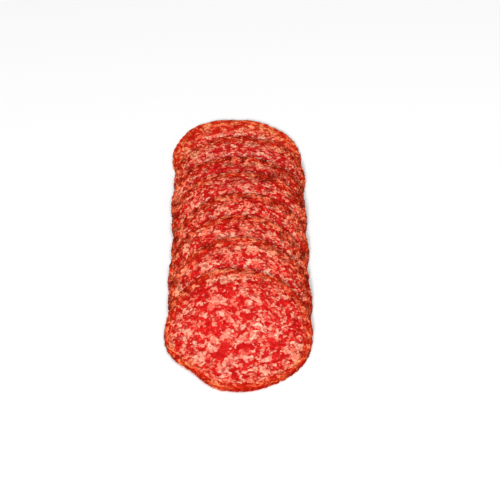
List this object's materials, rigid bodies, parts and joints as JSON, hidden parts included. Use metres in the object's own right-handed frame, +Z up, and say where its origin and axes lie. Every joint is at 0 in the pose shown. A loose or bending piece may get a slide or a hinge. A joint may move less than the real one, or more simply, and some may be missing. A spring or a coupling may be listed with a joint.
{
  "type": "sliced cured sausage",
  "caption": "Cured sausage cut into thin round slices, laid overlapping in one row that follows the slices below.",
  "frame": {"origin": "middle of the row's footprint, on the surface it lies on", "axes": "+Z up; +Y along the row, from the slice on top to the first slice laid; +X across the row"},
  "size_m": [0.0792, 0.2276, 0.0132],
  "materials": {
    "cured_meat": "moist cut meat, red lean with pale fat grains, soft sheen"
  },
  "bodies": {
    "root": {"slice_1": "cured_meat", "slice_2": "cured_meat", "slice_3": "cured_meat", "slice_4": "cured_meat", "slice_5": "cured_meat", "slice_6": "cured_meat", "slice_7": "cured_meat", "slice_8": "cured_meat"}
  },
  "joints": []
}
